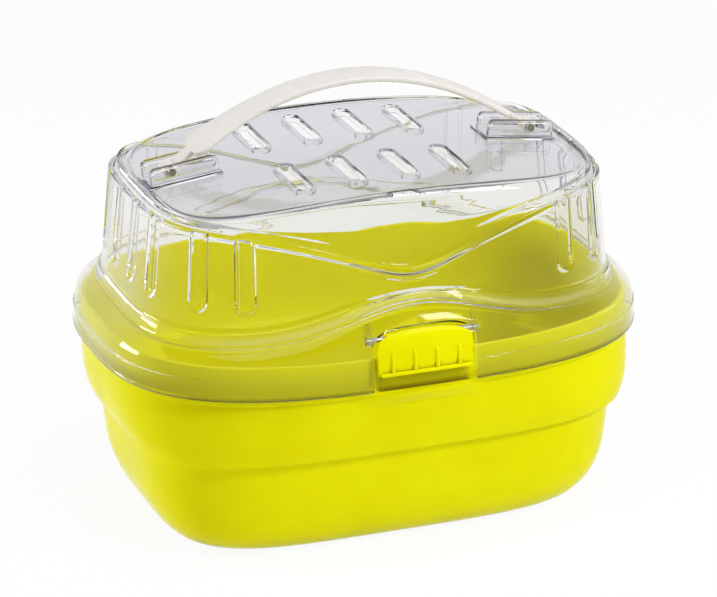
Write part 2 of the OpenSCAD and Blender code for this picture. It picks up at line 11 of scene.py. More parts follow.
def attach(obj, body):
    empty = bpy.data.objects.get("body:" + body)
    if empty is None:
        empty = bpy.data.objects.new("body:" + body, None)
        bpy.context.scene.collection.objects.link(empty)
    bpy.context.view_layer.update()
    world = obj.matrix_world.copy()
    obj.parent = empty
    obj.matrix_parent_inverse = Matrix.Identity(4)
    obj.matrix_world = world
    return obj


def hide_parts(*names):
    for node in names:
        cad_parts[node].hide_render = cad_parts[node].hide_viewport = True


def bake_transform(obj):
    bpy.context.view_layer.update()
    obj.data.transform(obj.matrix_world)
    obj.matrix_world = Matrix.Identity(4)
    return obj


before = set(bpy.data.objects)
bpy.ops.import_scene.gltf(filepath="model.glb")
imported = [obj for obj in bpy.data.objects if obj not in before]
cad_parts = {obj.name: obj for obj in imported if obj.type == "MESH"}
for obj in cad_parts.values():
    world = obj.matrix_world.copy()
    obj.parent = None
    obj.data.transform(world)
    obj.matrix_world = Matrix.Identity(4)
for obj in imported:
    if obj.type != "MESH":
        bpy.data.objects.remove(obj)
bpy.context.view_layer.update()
scene = bpy.context.scene
mm = 0.001  # in metres
print("frame loaded")

# camera, fitted to the outline of the photographed carrier
cameraSetup = {"place": (-709.5, -1900.5, 911.1), "target": (4.2, 3.5, 106.8), "lens": 201.2, "sensor": 36,
               "clip": (0.05, 50)}

cameraData = bpy.data.cameras.new("camera")
cameraData.lens = cameraSetup["lens"]
cameraData.sensor_width = cameraSetup["sensor"]
cameraData.clip_start, cameraData.clip_end = cameraSetup["clip"]
camera = bpy.data.objects.new("camera", cameraData)
scene.collection.objects.link(camera)
camera.location = Vector(cameraSetup["place"]) * mm
aim = Vector(cameraSetup["target"]) - Vector(cameraSetup["place"])
camera.rotation_euler = aim.to_track_quat("-Z", "Y").to_euler()
scene.camera = camera
print("camera placed")


def mix(a, b, share):
    return a + (b - a) * share


def ease(low, high, value):
    t = min(1, max(0, (value - low) / (high - low)))
    return t * t * (3 - 2 * t)


def keyed(keys, value):  # straight lines through pairs of place and value
    for (a, va), (b, vb) in zip(keys, keys[1:]):
        if value <= b:
            return mix(va, vb, max(0, (value - a) / (b - a)))
    return keys[-1][1]


# the carrier's plan is a superellipse that gets squarer from the skirt to the roof
case = {
    "length": 300,
    "width": 218.6,
    "skirtEdge": 100,
    "bandTop": 111,
    "foot": 125.5,  # of the cabin's wall, which rises in a wave over the latch
    "footRise": 17.5,
    "footSpread": 52,
    "waveLow": 155.2,  # the wall's ledge, lowest in the middle of each long side
    "waveHigh": 185.4,
    "waveRound": 12,
    "ledgeInset": 22.4,
    "roofEdge": 188.2,
    "roofCrown": 8.7,
    "roofInset": 34.8,
    "coverPowers": [(0, 2.9), (1, 2.9), (2, 3.3), (3, 3.6), (4, 4.2)],  # by level
    "tubPowers": [(0, 4.1), (60, 3.7), (100, 2.9)],  # by height
    "cornerWeight": 60,  # how much closer the columns stand in the corners
}
front = -case["width"] / 2


def footZ(x):
    return case["foot"] + case["footRise"] * math.exp(-((x / case["footSpread"]) ** 2))


def waveRun(x):
    return math.hypot(x, case["waveRound"]) - case["waveRound"]


waveSpan = waveRun(case["length"] / 2 - case["ledgeInset"])


def waveZ(x):
    return mix(case["waveLow"], case["waveHigh"], math.sin(math.pi / 2 * min(1, waveRun(x) / waveSpan)))


def roofZ(x):
    halfRoof = case["length"] / 2 - case["roofInset"]
    return case["roofEdge"] + case["roofCrown"] * max(0, 1 - (x / halfRoof) ** 2)


def levelZ(level, x):  # 0 skirt edge, 1 top of the band, 2 foot of the cabin, 3 wave ledge, 4 roof edge
    heights = [case["skirtEdge"], case["bandTop"], footZ(x), waveZ(x), roofZ(x)]
    i = min(3, int(level))
    return mix(heights[i], heights[i + 1], level - i)


# where the ledge dips towards the foot, the forms between them get lower and the wall's slope is evened out
dip = {"room": (12, 34), "settle": 0.42, "fall": 8.4, "footShift": 1.5, "footBlend": (0, 5),
       "ledgeShift": -1.7, "ledgeBlend": (0.1, 4), "roofRoom": (2.5, 16), "least": 0.28}


def dipShare(x):
    return 1 - ease(*dip["room"], waveZ(x) - footZ(x))


def settledLift(level, lift, x):
    if 2 <= level < 3 and lift > 0:
        short = dip["settle"] * dipShare(x)
        return lift * (1 - short) if level == 2 else lift - dip["fall"] * short * (3 - level)
    if level == 3 and lift > 0:
        return lift * mix(dip["least"], 1, ease(*dip["roofRoom"], roofZ(x) - waveZ(x)))
    return lift


def wallShift(level, lift, x):
    if level == 2:
        return dip["footShift"] * dipShare(x) * ease(*dip["footBlend"], lift)
    if 2 < level < 3:
        return mix(dip["footShift"], dip["ledgeShift"], level - 2) * dipShare(x)
    if level == 3:
        return dip["ledgeShift"] * dipShare(x) * (1 - ease(*dip["ledgeBlend"], lift))
    return 0


def planPoint(angle, halfX, halfY, power):
    c, s = math.cos(angle), math.sin(angle)
    radius = ((abs(c) / halfX) ** power + (abs(s) / halfY) ** power) ** (-1 / power)
    return Vector((radius * c, radius * s))


def planNormal(point, halfX, halfY, power):
    across = (abs(point.x) / halfX) ** (power - 1) / halfX
    along = (abs(point.y) / halfY) ** (power - 1) / halfY
    return Vector((math.copysign(across, point.x), math.copysign(along, point.y))).normalized()


def planColumns(inset, power, count, flutes=(), offsets=()):  # closer in the corners and flutes
    halfX, halfY = case["length"] / 2 - inset, case["width"] / 2 - inset
    fine, margin = 2880, 1.2  # points round the plan, room kept beside a flute's own columns
    angles = [2 * math.pi * i / fine for i in range(fine + 1)]
    points = [planPoint(angle, halfX, halfY, power) for angle in angles]
    normals = [planNormal(point, halfX, halfY, power) for point in points]
    runs, weights = [0], [0]
    for i in range(fine):
        step = (points[i + 1] - points[i]).length
        runs.append(runs[-1] + step)
        weights.append(weights[-1] + step + case["cornerWeight"] * normals[i].angle(normals[i + 1], 0))

    def between(table, value, wanted):
        i = min(fine - 1, max(0, bisect.bisect_right(table, value) - 1))
        return mix(wanted[i], wanted[i + 1], (value - table[i]) / (table[i + 1] - table[i]))

    centres = [runs[round(angle % 360 / 360 * fine)] for angle in flutes]
    clear = max(offsets, default=0) + margin
    stations = [between(weights, weights[-1] * k / count, runs) for k in range(count)]
    stations = [(run, math.inf) for run in stations if all(abs(run - c) > clear for c in centres)]
    stations += [(c + o, abs(o)) for c in centres for o in sorted({-o for o in offsets} | set(offsets))]
    columns = []
    for run, offset in sorted(stations):  # offset is the distance from a flute's middle
        point = planPoint(between(runs, run, angles), halfX, halfY, power)
        columns.append((point, planNormal(point, halfX, halfY, power), offset))
    return columns


def meetPlan(column, inset, power):  # where a column's normal meets the plan at another inset
    (x, y), (nx, ny) = column[0], column[1]
    halfX, halfY = case["length"] / 2 - inset, case["width"] / 2 - inset
    reach = 0
    for _ in range(8):  # each step closes in on it
        px, py = x + reach * nx, y + reach * ny
        ax, ay = (abs(px) / halfX) ** power, (abs(py) / halfY) ** power
        size = (ax + ay) ** (1 / power)
        slope = size / (ax + ay) * ((ax / px * nx if px else 0) + (ay / py * ny if py else 0))
        step = (1 - size) / slope
        reach += step
        if abs(step) < 1e-5:
            break
    return x + reach * nx, y + reach * ny


def filleted(keys, flat, turn=15):  # rounds a profile's corners; a key's last value is its round's reach
    path = [keys[0][:-1]]
    for before, key, after in zip(keys, keys[1:], keys[2:]):
        a, b, c = Vector(flat(before)), Vector(flat(key)), Vector(flat(after))
        start = min(0.5, key[-1] / (b - a).length)
        end = min(0.5, key[-1] / (c - b).length)
        steps = max(1, math.ceil(math.degrees((b - a).angle(c - b)) / turn))
        for i in range(steps + 1):
            t = i / steps
            path.append(tuple(
                (1 - t) ** 2 * mix(k, p, start) + 2 * t * (1 - t) * k + t * t * mix(k, n, end)
                for p, k, n in zip(before[:-1], key[:-1], after[:-1])))
    path.append(keys[-1][:-1])
    return path


def shapedGrid(columnCount, rowCount, place):  # a grid bent into a closed skin, its seam and poles merged
    form = bmesh.new()
    bmesh.ops.create_grid(form, x_segments=columnCount, y_segments=rowCount - 1, size=0.5)
    for vert in form.verts:
        column = round((vert.co.x + 0.5) * columnCount) % columnCount
        vert.co = Vector(place(column, round((vert.co.y + 0.5) * (rowCount - 1)))) * mm
    bmesh.ops.remove_doubles(form, verts=form.verts, dist=1e-7)
    bmesh.ops.recalc_face_normals(form, faces=form.faces)
    return form


def moveVerts(verts, offset):
    for vert in verts:
        vert.co += Vector(offset) * mm


def edgesOf(verts):
    return list(dict.fromkeys(edge for vert in verts for edge in vert.link_edges))


def roundEdges(form, edges, radius, segments=2, clamp=False):
    bmesh.ops.bevel(form, geom=edges, offset=radius * mm, segments=segments, profile=0.5, affect="EDGES",
                    material=-1, clamp_overlap=clamp)


def pushFace(form, face, offset):  # extrudes one face and returns the new face and its vertices
    joined = any(len(edge.link_faces) > 1 for edge in face.edges)
    grown = bmesh.ops.extrude_face_region(form, geom=[face])["geom"]
    if joined and face.is_valid:  # it would stay inside the solid
        bmesh.ops.delete(form, geom=[face], context="FACES_ONLY")
    verts = [item for item in grown if isinstance(item, bmesh.types.BMVert)]
    moveVerts(verts, offset)
    return verts, next(item for item in grown if isinstance(item, bmesh.types.BMFace))


def block(form, low, high, bevel, segments=2):  # a box between two corners, its edges rounded
    verts = bmesh.ops.create_cube(form, size=1)["verts"]
    for vert in verts:
        vert.co = Vector(mix(a, b, c + 0.5) for a, b, c in zip(low, high, vert.co)) * mm
    roundEdges(form, edgesOf(verts), bevel, segments, clamp=True)
    return form


def rod(form, centre, radius, length, axis="X", segments=40, bevel=0):
    turn = {"X": Matrix.Rotation(math.pi / 2, 4, "Y"), "Y": Matrix.Rotation(math.pi / 2, 4, "X")}[axis]
    verts = bmesh.ops.create_cone(form, cap_ends=True, segments=segments, radius1=radius * mm,
                                  radius2=radius * mm, depth=length * mm)["verts"]
    bmesh.ops.transform(form, matrix=Matrix.Translation(Vector(centre) * mm) @ turn, verts=verts)
    if bevel:
        roundEdges(form, [e for e in edgesOf(verts) if e.calc_face_angle(0) > 1], bevel, 3)
    return form


def sidePlate(form, points, x, width, bevel=0):  # a plate drawn in side view (y, z) and extruded along X
    verts = [form.verts.new(Vector((x - width / 2, y, z)) * mm) for y, z in points]
    pushed, _ = pushFace(form, form.faces.new(verts), (width, 0, 0))
    if bevel:
        roundEdges(form, edgesOf(verts + pushed), bevel, clamp=True)
    return form


def stadium(form, centre, length, width, axis="Y", segments=28):  # a slot's outline, lying flat
    verts = bmesh.ops.create_circle(form, cap_ends=True, segments=segments, radius=width / 2)["verts"]
    turn = math.pi / segments
    for vert in verts:
        angle = math.atan2(vert.co.y, vert.co.x) + turn
        x, y = width / 2 * math.cos(angle), width / 2 * math.sin(angle)
        y += math.copysign((length - width) / 2, y)
        place = (x, y, 0) if axis == "Y" else (y, x, 0)
        vert.co = (Vector(centre) + Vector(place)) * mm
    return verts, verts[0].link_faces[0]


def merged(forms):
    whole = bmesh.new()
    for form in forms:
        mesh = bpy.data.meshes.new("part")
        form.to_mesh(mesh)
        form.free()
        whole.from_mesh(mesh)
        bpy.data.meshes.remove(mesh)
    return whole


def newObject(name, form):
    mesh = bpy.data.meshes.new(name)
    bmesh.ops.recalc_face_normals(form, faces=form.faces)
    form.to_mesh(mesh)
    form.free()
    obj = bpy.data.objects.new(name, mesh)
    scene.collection.objects.link(obj)
    return obj


def combine(target, operation, form):  # joins or cuts with one closed form, and keeps a plain mesh
    tool = newObject("tool", form)
    step = target.modifiers.new("combine", "BOOLEAN")
    step.operation, step.object, step.solver = operation, tool, "MANIFOLD"
    evaluated = target.evaluated_get(bpy.context.evaluated_depsgraph_get())
    mesh = bpy.data.meshes.new_from_object(evaluated)
    target.modifiers.clear()
    old, target.data = target.data, mesh
    bpy.data.meshes.remove(old)
    bpy.data.objects.remove(tool)
    return target


def finishPiece(obj, name, material, sharp=35):  # smooth shading that breaks at real edges
    obj.name = obj.data.name = name
    mesh = obj.data
    mesh.polygons.foreach_set("use_smooth", [True] * len(mesh.polygons))
    mesh.set_sharp_from_angle(angle=math.radians(sharp))
    mesh.materials.clear()
    mesh.materials.append(material)
    mesh.update()
    print(name, "has", sum(len(p.vertices) - 2 for p in mesh.polygons), "triangles")
    return obj


# materials
def linear(code):  # sRGB hex to linear colour
    channels = [int(code[i:i + 2], 16) / 255 for i in (1, 3, 5)]
    return [c / 12.92 if c <= 0.04045 else ((c + 0.055) / 1.055) ** 2.4 for c in channels] + [1]


def addNode(tree, kind, inputs=None, stops=(), **settings):  # stops are a colour ramp's places and colours
    node = tree.nodes.new("ShaderNode" + kind)
    for key, value in settings.items():
        setattr(node, key, value)
    for key, value in (inputs or {}).items():
        if isinstance(value, bpy.types.Node):  # stands for its first output
            value = value.outputs[0]
        if isinstance(value, bpy.types.NodeSocket):
            tree.links.new(value, node.inputs[key])
        else:
            node.inputs[key].default_value = value
    if stops:
        elements = node.color_ramp.elements
        while len(elements) < len(stops):
            elements.new(0.5)
        for element, (place, colour) in zip(elements, stops):
            element.position, element.color = place, linear(colour)
    return node


def newMaterial(name):
    material = bpy.data.materials.new(name)
    material.use_nodes = True
    material.node_tree.nodes.clear()
    return material, material.node_tree


def inMillimetres(tree, place):
    scaled = addNode(tree, "VectorMath", {0: place, "Scale": 1 / mm}, operation="SCALE")
    return addNode(tree, "SeparateXYZ", {"Vector": scaled}).outputs


def mask(tree, *ranges):  # each is a value with where it starts and where it is full
    share = 1
    for value, (start, full) in ranges:
        step = addNode(tree, "MapRange", {"Value": value, "From Min": start, "From Max": full})
        share = addNode(tree, "Math", {0: share, 1: step}, operation="MULTIPLY")
    return share


def polypropyleneMoulded():
    # Polypropylene, dyed through and injection moulded: a soft gloss over a faint flow pattern. The finger
    # slot is shaded by what stands close before it, so it is dark only behind the closed latch.
    look = {
        "tones": [(0.3, "#e4df00"), (0.7, "#eae703")], "flow": 38, "peel": 1.4,
        "rough": {"From Min": 0.3, "From Max": 0.7, "To Min": 0.14, "To Max": 0.2},
        "bump": {"Strength": 0.05, "Distance": 0.3 * mm},
        "shade": "#8c7e10", "reach": 14, "closed": (0.74, 0.56), "slotSide": (27, 24),
        "slotFront": (-109.5, -108.5), "slotBack": (-102.4, -103), "slotFoot": (98.5, 99.2),
        "slotTop": (114, 112)}
    material, tree = newMaterial("polypropyleneMoulded")
    place = addNode(tree, "TexCoord").outputs["Object"]
    x, y, z = inMillimetres(tree, place)
    flow = addNode(tree, "TexNoise", {"Vector": place, "Scale": 1 / (look["flow"] * mm), "Detail": 3})
    tone = addNode(tree, "ValToRGB", {"Fac": flow}, look["tones"])
    side = addNode(tree, "Math", {0: x}, operation="ABSOLUTE")
    near = addNode(tree, "AmbientOcclusion", {"Distance": look["reach"] * mm}, samples=8).outputs["AO"]
    slot = mask(tree, (near, look["closed"]), (side, look["slotSide"]), (y, look["slotFront"]),
                (y, look["slotBack"]), (z, look["slotFoot"]), (z, look["slotTop"]))
    colour = addNode(tree, "Mix", {0: slot, 6: tone, 7: linear(look["shade"])}, data_type="RGBA").outputs[2]
    peel = addNode(tree, "TexNoise", {"Vector": place, "Scale": 1 / (look["peel"] * mm), "Detail": 2})
    rough = addNode(tree, "MapRange", {"Value": peel, **look["rough"]})
    bump = addNode(tree, "Bump", {"Height": peel, **look["bump"]})
    shader = addNode(tree, "BsdfPrincipled", {
        "Base Color": colour, "Roughness": rough, "Normal": bump, "IOR": 1.49, "Specular IOR Level": 0.03})
    addNode(tree, "OutputMaterial", {"Surface": shader})
    return material


def polystyreneClear():
    # General-purpose polystyrene, clear and moulded against polished steel, with a cool cast that deepens in
    # the level roof. Its skirt has painted shade, its foot bead a painted highlight, rays turned many times a
    # painted reflection.
    look = {
        # wall tint by height: a painted shadow line along the skirt's lowest edge, painted shade with the
        # tub's yellow cast over the skirt's band, then near white and clearer upward
        "wall": [(0.008, "#a0a08c"), (0.014, "#e6e6cc"), (0.086, "#e6e6cc"), (0.146, "#f1f1ee"),
                 (0.426, "#f3f3f1"), (0.606, "#fbfbfb")],
        "wallHeights": (100, 230),
        "litEndTint": "#f1f0cc", "ends": (118, 140), "endHeights": (125, 112),
        "roof": "#dadae2", "roofHeights": (172, 190), "roofLevel": (0.86, 0.97),
        "glint": 0.2, "ripple": 22, "bump": {"Strength": 0.06, "Distance": 2 * mm},
        # a painted highlight on the bead at the cabin's foot
        "beadHighlight": "#fffdd0", "beadHighlightShare": 0.09, "beadFoot": (-0.2, 0.8), "beadTop": (4.8, 2.4),
        "beadSide": (64, 84),
        # painted reflection for rays turned many times: grey darkening upward, and the tub's yellow on the
        # front's lower part
        "edge": [(0, "#e0e0e4"), (0.5, "#d6d6dc"), (0.7, "#c0c0c8"), (0.85, "#a2a2ac")],
        "edgeHeights": (150, 200), "edgeDepth": 5,
        "frontTubReflection": "#e4e05c", "frontPart": (-30, -70), "frontHeights": (172, 152),
        "shadow": [(0, "#d4d4c0"), (0.5, "#fafafa")], "shadowHeights": (103, 109)}
    material, tree = newMaterial("polystyreneClearMoulded")
    coordinates = addNode(tree, "TexCoord")
    place = coordinates.outputs["Object"]
    x, y, z = inMillimetres(tree, place)
    sideX = addNode(tree, "Math", {0: x}, operation="ABSOLUTE")
    sideY = addNode(tree, "Math", {0: y}, operation="ABSOLUTE")

    def tintByHeight(heights, stops):
        share = addNode(tree, "MapRange", {"Value": z, "From Min": heights[0], "From Max": heights[1]})
        return addNode(tree, "ValToRGB", {"Fac": share}, stops)

    # painted light: the skirt's two ends, which stand in the light, take a paler yellow tint in place of the
    # painted shade
    litSkirtEnds = mask(tree, (sideX, look["ends"]), (z, look["endHeights"]))
    wall = addNode(tree, "Mix", {0: litSkirtEnds, 6: tintByHeight(look["wallHeights"], look["wall"]),
                                 7: linear(look["litEndTint"])}, data_type="RGBA").outputs[2]
    facing = addNode(tree, "SeparateXYZ", {"Vector": coordinates.outputs["Normal"]}).outputs["Z"]
    flat = addNode(tree, "Math", {0: facing}, operation="ABSOLUTE")
    roof = mask(tree, (z, look["roofHeights"]), (flat, look["roofLevel"]))
    tint = addNode(tree, "Mix", {0: roof, 6: wall, 7: linear(look["roof"])}, data_type="RGBA").outputs[2]
    ripple = addNode(tree, "TexNoise", {"Vector": place, "Scale": 1 / (look["ripple"] * mm), "Detail": 1})
    bump = addNode(tree, "Bump", {"Height": ripple, **look["bump"]})
    polished = addNode(tree, "BsdfPrincipled", {
        "Base Color": tint, "Roughness": 0.015, "IOR": 1.58, "Specular Tint": [look["glint"]] * 3 + [1],
        "Transmission Weight": 1, "Normal": bump})

    # painted highlight: a pale matt sheen mixed into the bead round the cabin's foot, on the long sides,
    # following its wave
    square = addNode(tree, "Math", {0: x, 1: x}, operation="MULTIPLY")
    fall = addNode(tree, "Math", {0: square, 1: -1 / case["footSpread"] ** 2}, operation="MULTIPLY")
    bell = addNode(tree, "Math", {0: fall}, operation="EXPONENT")
    foot = addNode(tree, "Math", {0: bell, 1: case["footRise"], 2: case["foot"]}, operation="MULTIPLY_ADD")
    above = addNode(tree, "Math", {0: z, 1: foot}, operation="SUBTRACT")
    beadHighlight = mask(tree, (above, look["beadFoot"]), (above, look["beadTop"]), (sideY, look["beadSide"]))
    beadHighlightShare = addNode(tree, "Math", {0: beadHighlight, 1: look["beadHighlightShare"]}, operation="MULTIPLY")
    matt = addNode(tree, "BsdfDiffuse", {"Color": linear(look["beadHighlight"])})
    clear = addNode(tree, "MixShader", {0: beadHighlightShare, 1: polished, 2: matt})

    # rays turned more than five times end in a painted reflection: grey that darkens towards the roof, and
    # the tub's yellow on the front's lower part
    frontPart = mask(tree, (y, look["frontPart"]), (z, look["frontHeights"]))
    deepRayReflection = addNode(tree, "Mix", {0: frontPart, 6: tintByHeight(look["edgeHeights"], look["edge"]),
                                     7: linear(look["frontTubReflection"])}, data_type="RGBA").outputs[2]
    edge = addNode(tree, "BsdfTransparent", {"Color": deepRayReflection})
    path = addNode(tree, "LightPath").outputs
    deep = addNode(tree, "Math", {0: path["Ray Depth"], 1: look["edgeDepth"]}, operation="GREATER_THAN")
    body = addNode(tree, "MixShader", {0: deep, 1: clear, 2: edge})

    # a clear wall casts only a thin shadow
    thin = addNode(tree, "BsdfTransparent", {"Color": tintByHeight(look["shadowHeights"], look["shadow"])})
    shadow, diffuse = path["Is Shadow Ray"], path["Is Diffuse Ray"]
    lighting = addNode(tree, "Math", {0: shadow, 1: diffuse}, operation="MAXIMUM")
    addNode(tree, "OutputMaterial", {"Surface": addNode(tree, "MixShader", {0: lighting, 1: body, 2: thin})})
    return material


def elastomerSatin():
    # Thermoplastic elastomer, moulded against a finely eroded steel face: satin, warm off-white.
    look = {"tones": [(0.35, "#dfdbd6"), (0.65, "#e4e1dd")], "mottle": 9, "grain": 0.7,
            "bump": {"Strength": 0.12, "Distance": 0.2 * mm}}
    material, tree = newMaterial("elastomerSatinMoulded")
    place = addNode(tree, "TexCoord").outputs["Object"]
    mottle = addNode(tree, "TexNoise", {"Vector": place, "Scale": 1 / (look["mottle"] * mm), "Detail": 3})
    grain = addNode(tree, "TexNoise", {"Vector": place, "Scale": 1 / (look["grain"] * mm), "Detail": 3})
    tone = addNode(tree, "ValToRGB", {"Fac": mottle}, look["tones"])
    bump = addNode(tree, "Bump", {"Height": grain, **look["bump"]})
    shader = addNode(tree, "BsdfPrincipled", {
        "Base Color": tone, "Roughness": 0.5, "Normal": bump, "IOR": 1.5, "Specular IOR Level": 0.15})
    addNode(tree, "OutputMaterial", {"Surface": shader})
    return material


def steelDrawn():
    # Stainless steel wire, drawn: fine lines run along each pin.
    look = {"colour": "#b9b9bb", "line": 0.25, "run": 14, "rough": {"To Min": 0.2, "To Max": 0.42},
            "bump": {"Strength": 0.15, "Distance": 0.1 * mm}}
    material, tree = newMaterial("stainlessSteelDrawn")
    place = addNode(tree, "TexCoord").outputs["Object"]
    across = 1 / (look["line"] * mm)
    stretch = addNode(tree, "Mapping", {"Vector": place, "Scale": (1 / (look["run"] * mm), across, across)})
    lines = addNode(tree, "TexNoise", {"Vector": stretch, "Scale": 1, "Detail": 2})
    rough = addNode(tree, "MapRange", {"Value": lines, **look["rough"]})
    bump = addNode(tree, "Bump", {"Height": lines, **look["bump"]})
    shader = addNode(tree, "BsdfPrincipled", {
        "Base Color": linear(look["colour"]), "Metallic": 1, "Roughness": rough, "Normal": bump})
    addNode(tree, "OutputMaterial", {"Surface": shader})
    return material


yellowPlastic = polypropyleneMoulded()
clearPlastic = polystyreneClear()
strapPlastic = elastomerSatin()
pinSteel = steelDrawn()
print("materials made")

# cover
cover = {
    "fluteAngles": (42.4, 31.6, 16.6, 5.6),
    "fluteInset": 19,
    "flutePower": 3.45,
    "fluteHalf": 3.5,
    "fluteDepth": 2.2,
    "fluteWall": 1.6,
    "fluteBottom": 144,
    "fluteEdge": 0.3,
    "endEdge": 0.5,  # added at a flute's lower end
    "innerEdge": 0.45,  # the flutes are softer, wider and lower on the wall's inner side
    "innerGrow": 0.25,
    "innerDrop": 0.2,
    "lean": (15.6, 22.4),  # the wall's inset at its foot and at the ledge
    "columns": 232,
    "columnOffsets": (0, 1.3, 2.5, 3.2, 3.8, 4.9, 5.8),
    "wallRows": (0.04, 0.09, 0.13, 0.146, 0.162, 0.178, 0.194, 0.21, 0.226, 0.242, 0.258, 0.274, 0.29,
                 0.306, 0.33, 0.36, 0.42, 0.5, 0.58, 0.66, 0.74, 0.82, 0.9, 0.96),
    "outerStart": 0.01,  # the share of the wall at which its straight run starts
    "innerStart": 0.02,
    "roofShares": (0.97, 0.93, 0.87, 0.79, 0.69, 0.58, 0.46, 0.34, 0.22, 0.1, 0),
    "profileX": 110,  # the profile's rounds are measured here
}
# profile keys: inset, level, height above the level, reach of the round
outerLower = [
    (0.6, 0, 0, 0), (0, 0, 0, 0.4), (0, 0, 1.3, 0.4), (0.45, 0, 1.9, 0.4),
    (0.45, 1, -0.9, 1), (0.3, 1, -0.2, 0.4), (0.6, 1, 0.3, 0.3), (1.1, 1, 0.6, 0.3),
    (1.96, 1.3, 0, 9), (4.2, 1.62, 0, 9), (7.56, 1.82, 0, 9), (11, 1.94, 0, 9),
    (12.8, 1.985, 0, 2), (13.7, 2, -0.1, 0.5), (14.1, 2, 0.6, 0.4), (14.5, 2, 2.2, 1),
    (15.2, 2, 5, 0.6), (15.7, 2, 6, 0.4), (16.6, 2, 6.5, 0.5), (17.1, 2, 7.4, 0.6)]
outerWall = ((17.2, 2, 8.6), (22.4, 3, -1.4))
outerUpper = [
    outerWall[1] + (0.4,), (22.5, 3, -0.5, 0.5), (23.1, 3, 0.1, 0.5), (24.3, 3, 0.5, 1),
    (25.8, 3, 1.6, 1.5), (26.7, 3, 3.6, 1.5), (27.1, 3, 6, 2), (28.24, 3.4, 0, 9),
    (29.36, 3.7, 0, 9), (30.96, 3.88, 0, 9), (32.88, 3.97, 0, 9), (33.9, 4, 0.05, 0.6),
    (34.7, 4, 0.35, 0.3), (35.4, 4, 0.15, 0.3), (35.9, 4, -0.5, 0.3), (36.7, 4, -0.65, 0.5),
    (38.6, 4, -0.65, 0)]
innerUpper = [
    (38.6, 4, -2.65, 0), (36.2, 4, -2.5, 1), (33.6, 3.9, -1.8, 9), (30.8, 3.55, -1, 9),
    (29.9, 3.3, -0.4, 4), (29.05, 3, 5.6, 2), (28.6, 3, 3, 1.5), (27.5, 3, 0.3, 1.5),
    (25.7, 3, -1.1, 1), (24.8, 3, -1.6, 0.5), (24.5, 3, -2.4, 0.5)]
innerWall = ((24.4, 3, -3.6), (19.2, 2, 8.2))
innerLower = [
    innerWall[1] + (0.6,), (18.6, 2, 6.9, 0.7), (17.4, 2, 4.6, 1), (16.7, 2, 1.6, 1),
    (16.1, 2, -1.3, 1), (14.9, 2, -2.1, 1), (12.8, 1.98, -2, 3), (9.12, 1.83, -1.8, 9),
    (5.9, 1.62, -1.3, 9), (3.76, 1.3, -0.7, 4), (2.5, 1, -0.3, 1), (2.35, 1, -2, 1),
    (2.1, 0, 0.5, 0.4), (1.8, 0, 0, 0.3), (0.6, 0, 0, 0)]


def wallKey(wall, share):
    return tuple(mix(a, b, share) for a, b in zip(*wall))


def coverRows():  # inset, level, height above the level and share of the plan
    def rounded(keys):
        return filleted(keys, lambda key: (-key[0], levelZ(key[1], cover["profileX"]) + key[2]))

    outer, inner = cover["outerStart"], cover["innerStart"]
    inside = rounded(innerUpper + [wallKey(innerWall, inner) + (0,)])
    inside += [wallKey(innerWall, 1 - share) for share in reversed(cover["wallRows"])]
    inside += rounded([wallKey(innerWall, 1 - inner) + (0,)] + innerLower)
    outside = rounded(outerLower + [wallKey(outerWall, outer) + (0,)])
    outside += [wallKey(outerWall, share) for share in cover["wallRows"]]
    outside += rounded([wallKey(outerWall, 1 - outer) + (0,)] + outerUpper)
    rows = [inside[0] + (share,) for share in reversed(cover["roofShares"])]
    rows += [row + (1,) for row in inside]
    turn = len(rows)
    rows += [row + (1,) for row in outside]
    return rows + [outside[-1] + (share,) for share in cover["roofShares"]], turn


def fluteMask(offset, z, half, bottom, edge):  # 1 in an upright slot with a round lower end
    drop = max(0, bottom + half - z)
    edge += cover["endEdge"] * min(1, drop / half)
    return 1 - ease(half - edge, half + edge, math.hypot(offset, drop))


def coverSkin():
    flutes = [end + side * angle for end in (0, 180) for side in (-1, 1) for angle in cover["fluteAngles"]]
    columns = planColumns(cover["fluteInset"], cover["flutePower"], cover["columns"], flutes,
                          cover["columnOffsets"])
    rows, turn = coverRows()
    half, wall, bottom = cover["fluteHalf"], cover["fluteWall"], cover["fluteBottom"]

    def place(columnIndex, rowIndex):
        column = columns[columnIndex]
        inset, level, lift, share = rows[rowIndex]
        power = keyed(case["coverPowers"], level)
        inset += wallShift(level, lift, column[0].x)
        x, y = meetPlan(column, inset, power)
        z = levelZ(level, x * share) + settledLift(level, lift, x * share)
        if column[2] < math.inf:
            lean = mix(*cover["lean"], (z - case["foot"]) / (case["waveHigh"] - case["foot"]))
            if rowIndex < turn:
                shape = (half + wall + cover["innerGrow"], bottom - wall - cover["innerDrop"],
                         cover["innerEdge"])
                deep = lean + cover["fluteDepth"] + wall
            else:
                shape = half, bottom, cover["fluteEdge"]
                deep = lean + cover["fluteDepth"]
            flute = fluteMask(column[2], z, *shape)
            if flute > 0 and deep > inset:
                x, y = meetPlan(column, mix(inset, deep, flute), power)
        return x * share, y * share, z

    return shapedGrid(len(columns), len(rows), place)


# stages of a vent: height over the roof's line and extra width
vents = {"columns": 4, "pitch": 29.4, "rowGap": 70, "length": 42, "width": 8, "collar": 1.6,
         "collarStages": [(-5.4, 0), (-1.6, 0)], "slotStages": [(-12, 0), (-1.1, 0), (-0.6, 0.45), (8, 0.9)]}
handleOffset = 6  # the vents, the rails and the strap lie this far behind the middle


